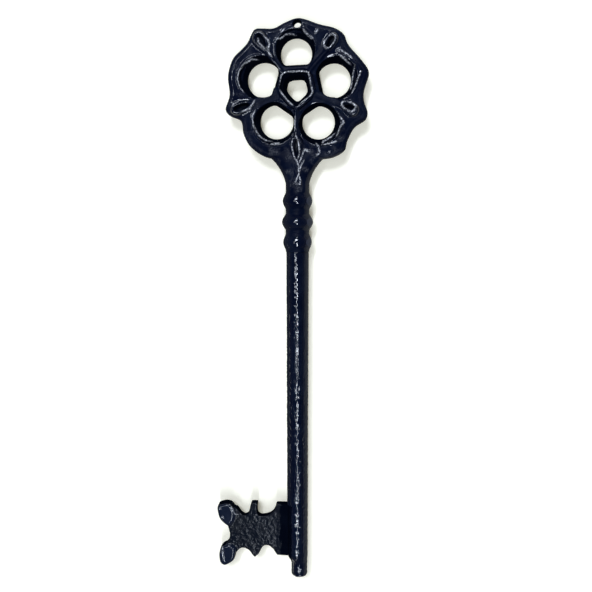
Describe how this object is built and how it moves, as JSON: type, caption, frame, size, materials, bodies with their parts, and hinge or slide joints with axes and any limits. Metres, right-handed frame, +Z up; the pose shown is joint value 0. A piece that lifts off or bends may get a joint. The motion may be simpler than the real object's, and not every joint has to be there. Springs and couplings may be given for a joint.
{
  "type": "decorative skeleton key",
  "caption": "Large ornamental skeleton key with a pierced rosette bow, bead collars on a round shank and a scalloped bit.",
  "frame": {"origin": "middle of the bottom of the bounding box, on the surface that the key lies on", "axes": "+Y from the bit to the bow, +Z up out of the rosette's front, +X away from the bit"},
  "size_m": [0.0806, 0.2976, 0.0162],
  "materials": {
    "bow_paint": "glossy black paint with a blue cast over a sand-cast surface",
    "collar_paint": "glossy black paint, smooth on the beads",
    "shank_paint": "glossy black paint, finely dimpled",
    "bit_paint": "semi-gloss black paint over a pitted casting"
  },
  "bodies": {
    "root": {"bow": "bow_paint", "collar_lower": "collar_paint", "collar_middle": "collar_paint", "collar_upper": "collar_paint", "shank": "shank_paint", "bit": "bit_paint"}
  },
  "joints": []
}
